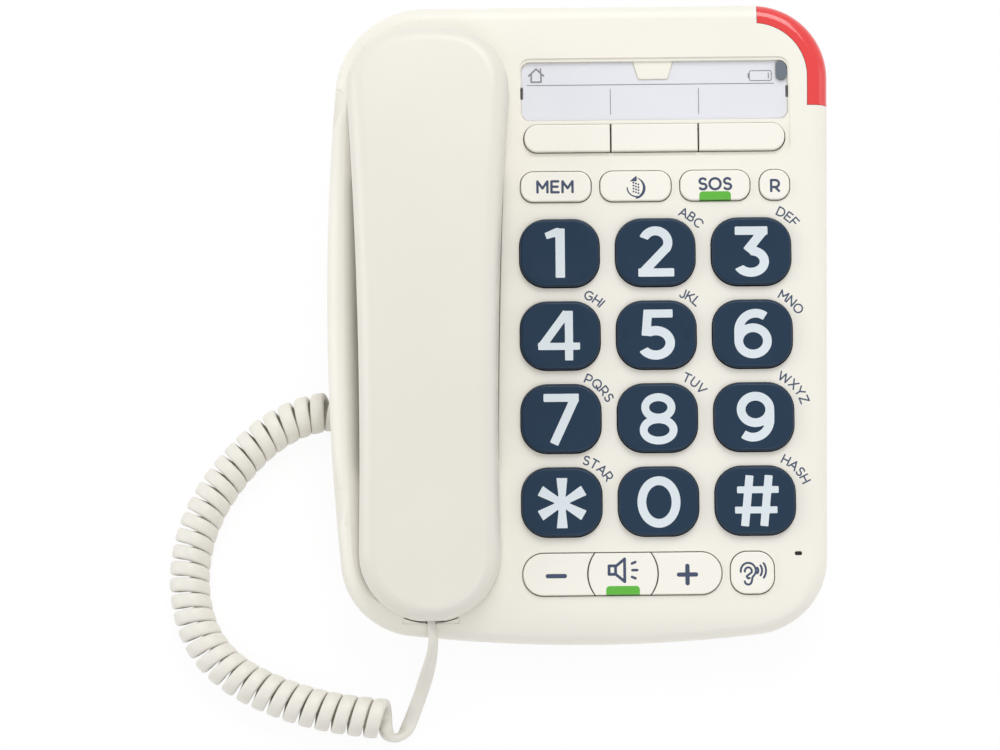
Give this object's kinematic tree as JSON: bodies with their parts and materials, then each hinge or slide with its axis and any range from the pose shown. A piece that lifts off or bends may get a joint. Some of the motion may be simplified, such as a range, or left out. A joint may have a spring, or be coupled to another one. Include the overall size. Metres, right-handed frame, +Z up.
{
  "type": "corded telephone",
  "caption": "Corded desk telephone with large dial keys, memory keys under a label window, a lift-off handset and a curly cord.",
  "frame": {"origin": "centre of the telephone's footprint at desk level, without the cord", "axes": "+X to the user's right, +Y to the rear, +Z up; the keyed face slopes up 10 degrees toward the rear"},
  "size_m": [0.2229, 0.2464, 0.0744],
  "materials": {
    "housing_plastic": "fine satin grain",
    "handset_plastic": "smooth satin",
    "key_plastic": "satin",
    "small_key_plastic": "satin",
    "green_light": "translucent, smooth",
    "red_light": "translucent, smooth",
    "dark_lens": "translucent, smooth",
    "clear_window": "clear, polished",
    "card": "uncoated card",
    "cord_sheath": "satin, flexible",
    "plug_clear": "clear, moulded",
    "jack_black": "moulded",
    "plunger_plastic": "moulded",
    "board": "lacquered",
    "mat_rubber": "matte",
    "foot_rubber": "matte",
    "screw_steel": "plated",
    "cell_can": "printed sleeve, satin",
    "speaker_metal": "painted"
  },
  "bodies": {
    "base": {"base_microphone": "jack_black", "base_plug": "plug_clear", "battery_cells": "cell_can", "battery_contacts": "screw_steel", "battery_lamp_lens": "dark_lens", "cord_base_lead": "cord_sheath", "cord_coil": "cord_sheath", "handset_jack": "jack_black", "hook_switch": "jack_black", "hook_tab": "housing_plastic", "housing_screws": "screw_steel", "keypad_mat": "mat_rubber", "label_card": "card", "line_jack": "jack_black", "loudspeaker": "speaker_metal", "lower_housing": "housing_plastic", "main_board": "board", "ring_lamp_leds": "board", "ring_lamp_lens": "red_light", "rubber_feet": "foot_rubber", "upper_housing": "housing_plastic"},
    "handset": {"handset_upper_shell": "handset_plastic", "handset_lower_shell": "handset_plastic", "handset_screws": "screw_steel", "earpiece_speaker": "speaker_metal", "handset_microphone": "jack_black", "handset_weight": "screw_steel", "handset_cord_jack": "jack_black", "handset_plug": "plug_clear", "cord_handset_lead": "cord_sheath"},
    "hook": {"hook_plunger": "plunger_plastic"},
    "battery_cover": {"battery_door": "housing_plastic"},
    "window_cover": {"label_cover": "clear_window"},
    "ringer_knob": {"ringer_switch": "jack_black"},
    "key_0": {"key_0": "key_plastic"},
    "key_1": {"key_1": "key_plastic"},
    "key_2": {"key_2": "key_plastic"},
    "key_3": {"key_3": "key_plastic"},
    "key_4": {"key_4": "key_plastic"},
    "key_5": {"key_5": "key_plastic"},
    "key_6": {"key_6": "key_plastic"},
    "key_7": {"key_7": "key_plastic"},
    "key_8": {"key_8": "key_plastic"},
    "key_9": {"key_9": "key_plastic"},
    "key_star": {"key_star": "key_plastic"},
    "key_hash": {"key_hash": "key_plastic"},
    "memory_key_1": {"memory_key_1": "small_key_plastic"},
    "memory_key_2": {"memory_key_2": "small_key_plastic"},
    "memory_key_3": {"memory_key_3": "small_key_plastic"},
    "memory_store_key": {"memory_store_key": "small_key_plastic"},
    "redial_key": {"redial_key": "small_key_plastic"},
    "sos_key": {"sos_key": "small_key_plastic", "sos_key_lens": "green_light"},
    "recall_key": {"recall_key": "small_key_plastic"},
    "volume_down_key": {"volume_down_key": "small_key_plastic"},
    "speaker_key": {"speaker_key": "small_key_plastic", "speaker_key_lens": "green_light"},
    "volume_up_key": {"volume_up_key": "small_key_plastic"},
    "boost_key": {"boost_key": "small_key_plastic"}
  },
  "joints": [
    {"name": "handset_lift", "type": "slide", "parent": "base", "child": "handset", "axis": [0, -0.1736, 0.9848], "range_m": [0, 0.045]},
    {"name": "hook_rise", "type": "slide", "parent": "base", "child": "hook", "axis": [0, -0.1736, 0.9848], "range_m": [0, 0.0035]},
    {"name": "battery_cover_slide", "type": "slide", "parent": "base", "child": "battery_cover", "axis": [0, 1, 0], "range_m": [0, 0.006]},
    {"name": "window_cover_lift", "type": "slide", "parent": "base", "child": "window_cover", "axis": [0, -0.1736, 0.9848], "range_m": [0, 0.008]},
    {"name": "ringer_slide", "type": "slide", "parent": "base", "child": "ringer_knob", "axis": [1, 0, 0], "range_m": [-0.003, 0.003]},
    {"name": "key_0_press", "type": "slide", "parent": "base", "child": "key_0", "axis": [0, -0.1736, 0.9848], "range_m": [-0.0016, 0], "stiffness_N_per_m": 300, "springref_m": 0.001, "deforming": ["keypad_mat"]},
    {"name": "key_1_press", "type": "slide", "parent": "base", "child": "key_1", "axis": [0, -0.1736, 0.9848], "range_m": [-0.0016, 0], "stiffness_N_per_m": 300, "springref_m": 0.001, "deforming": ["keypad_mat"]},
    {"name": "key_2_press", "type": "slide", "parent": "base", "child": "key_2", "axis": [0, -0.1736, 0.9848], "range_m": [-0.0016, 0], "stiffness_N_per_m": 300, "springref_m": 0.001, "deforming": ["keypad_mat"]},
    {"name": "key_3_press", "type": "slide", "parent": "base", "child": "key_3", "axis": [0, -0.1736, 0.9848], "range_m": [-0.0016, 0], "stiffness_N_per_m": 300, "springref_m": 0.001, "deforming": ["keypad_mat"]},
    {"name": "key_4_press", "type": "slide", "parent": "base", "child": "key_4", "axis": [0, -0.1736, 0.9848], "range_m": [-0.0016, 0], "stiffness_N_per_m": 300, "springref_m": 0.001, "deforming": ["keypad_mat"]},
    {"name": "key_5_press", "type": "slide", "parent": "base", "child": "key_5", "axis": [0, -0.1736, 0.9848], "range_m": [-0.0016, 0], "stiffness_N_per_m": 300, "springref_m": 0.001, "deforming": ["keypad_mat"]},
    {"name": "key_6_press", "type": "slide", "parent": "base", "child": "key_6", "axis": [0, -0.1736, 0.9848], "range_m": [-0.0016, 0], "stiffness_N_per_m": 300, "springref_m": 0.001, "deforming": ["keypad_mat"]},
    {"name": "key_7_press", "type": "slide", "parent": "base", "child": "key_7", "axis": [0, -0.1736, 0.9848], "range_m": [-0.0016, 0], "stiffness_N_per_m": 300, "springref_m": 0.001, "deforming": ["keypad_mat"]},
    {"name": "key_8_press", "type": "slide", "parent": "base", "child": "key_8", "axis": [0, -0.1736, 0.9848], "range_m": [-0.0016, 0], "stiffness_N_per_m": 300, "springref_m": 0.001, "deforming": ["keypad_mat"]},
    {"name": "key_9_press", "type": "slide", "parent": "base", "child": "key_9", "axis": [0, -0.1736, 0.9848], "range_m": [-0.0016, 0], "stiffness_N_per_m": 300, "springref_m": 0.001, "deforming": ["keypad_mat"]},
    {"name": "key_star_press", "type": "slide", "parent": "base", "child": "key_star", "axis": [0, -0.1736, 0.9848], "range_m": [-0.0016, 0], "stiffness_N_per_m": 300, "springref_m": 0.001, "deforming": ["keypad_mat"]},
    {"name": "key_hash_press", "type": "slide", "parent": "base", "child": "key_hash", "axis": [0, -0.1736, 0.9848], "range_m": [-0.0016, 0], "stiffness_N_per_m": 300, "springref_m": 0.001, "deforming": ["keypad_mat"]},
    {"name": "memory_key_1_press", "type": "slide", "parent": "base", "child": "memory_key_1", "axis": [0, -0.1736, 0.9848], "range_m": [-0.0016, 0], "stiffness_N_per_m": 300, "springref_m": 0.001, "deforming": ["keypad_mat"]},
    {"name": "memory_key_2_press", "type": "slide", "parent": "base", "child": "memory_key_2", "axis": [0, -0.1736, 0.9848], "range_m": [-0.0016, 0], "stiffness_N_per_m": 300, "springref_m": 0.001, "deforming": ["keypad_mat"]},
    {"name": "memory_key_3_press", "type": "slide", "parent": "base", "child": "memory_key_3", "axis": [0, -0.1736, 0.9848], "range_m": [-0.0016, 0], "stiffness_N_per_m": 300, "springref_m": 0.001, "deforming": ["keypad_mat"]},
    {"name": "memory_store_key_press", "type": "slide", "parent": "base", "child": "memory_store_key", "axis": [0, -0.1736, 0.9848], "range_m": [-0.0016, 0], "stiffness_N_per_m": 300, "springref_m": 0.001, "deforming": ["keypad_mat"]},
    {"name": "redial_key_press", "type": "slide", "parent": "base", "child": "redial_key", "axis": [0, -0.1736, 0.9848], "range_m": [-0.0016, 0], "stiffness_N_per_m": 300, "springref_m": 0.001, "deforming": ["keypad_mat"]},
    {"name": "sos_key_press", "type": "slide", "parent": "base", "child": "sos_key", "axis": [0, -0.1736, 0.9848], "range_m": [-0.0016, 0], "stiffness_N_per_m": 300, "springref_m": 0.001, "deforming": ["keypad_mat"]},
    {"name": "recall_key_press", "type": "slide", "parent": "base", "child": "recall_key", "axis": [0, -0.1736, 0.9848], "range_m": [-0.0016, 0], "stiffness_N_per_m": 300, "springref_m": 0.001, "deforming": ["keypad_mat"]},
    {"name": "volume_down_key_press", "type": "slide", "parent": "base", "child": "volume_down_key", "axis": [0, -0.1736, 0.9848], "range_m": [-0.0016, 0], "stiffness_N_per_m": 300, "springref_m": 0.001, "deforming": ["keypad_mat"]},
    {"name": "speaker_key_press", "type": "slide", "parent": "base", "child": "speaker_key", "axis": [0, -0.1736, 0.9848], "range_m": [-0.0016, 0], "stiffness_N_per_m": 300, "springref_m": 0.001, "deforming": ["keypad_mat"]},
    {"name": "volume_up_key_press", "type": "slide", "parent": "base", "child": "volume_up_key", "axis": [0, -0.1736, 0.9848], "range_m": [-0.0016, 0], "stiffness_N_per_m": 300, "springref_m": 0.001, "deforming": ["keypad_mat"]},
    {"name": "boost_key_press", "type": "slide", "parent": "base", "child": "boost_key", "axis": [0, -0.1736, 0.9848], "range_m": [-0.0016, 0], "stiffness_N_per_m": 300, "springref_m": 0.001, "deforming": ["keypad_mat"]}
  ],
  "couplings": [
    {"joint": "hook_rise", "follows": "handset_lift", "ratio": 0.077778}
  ]
}
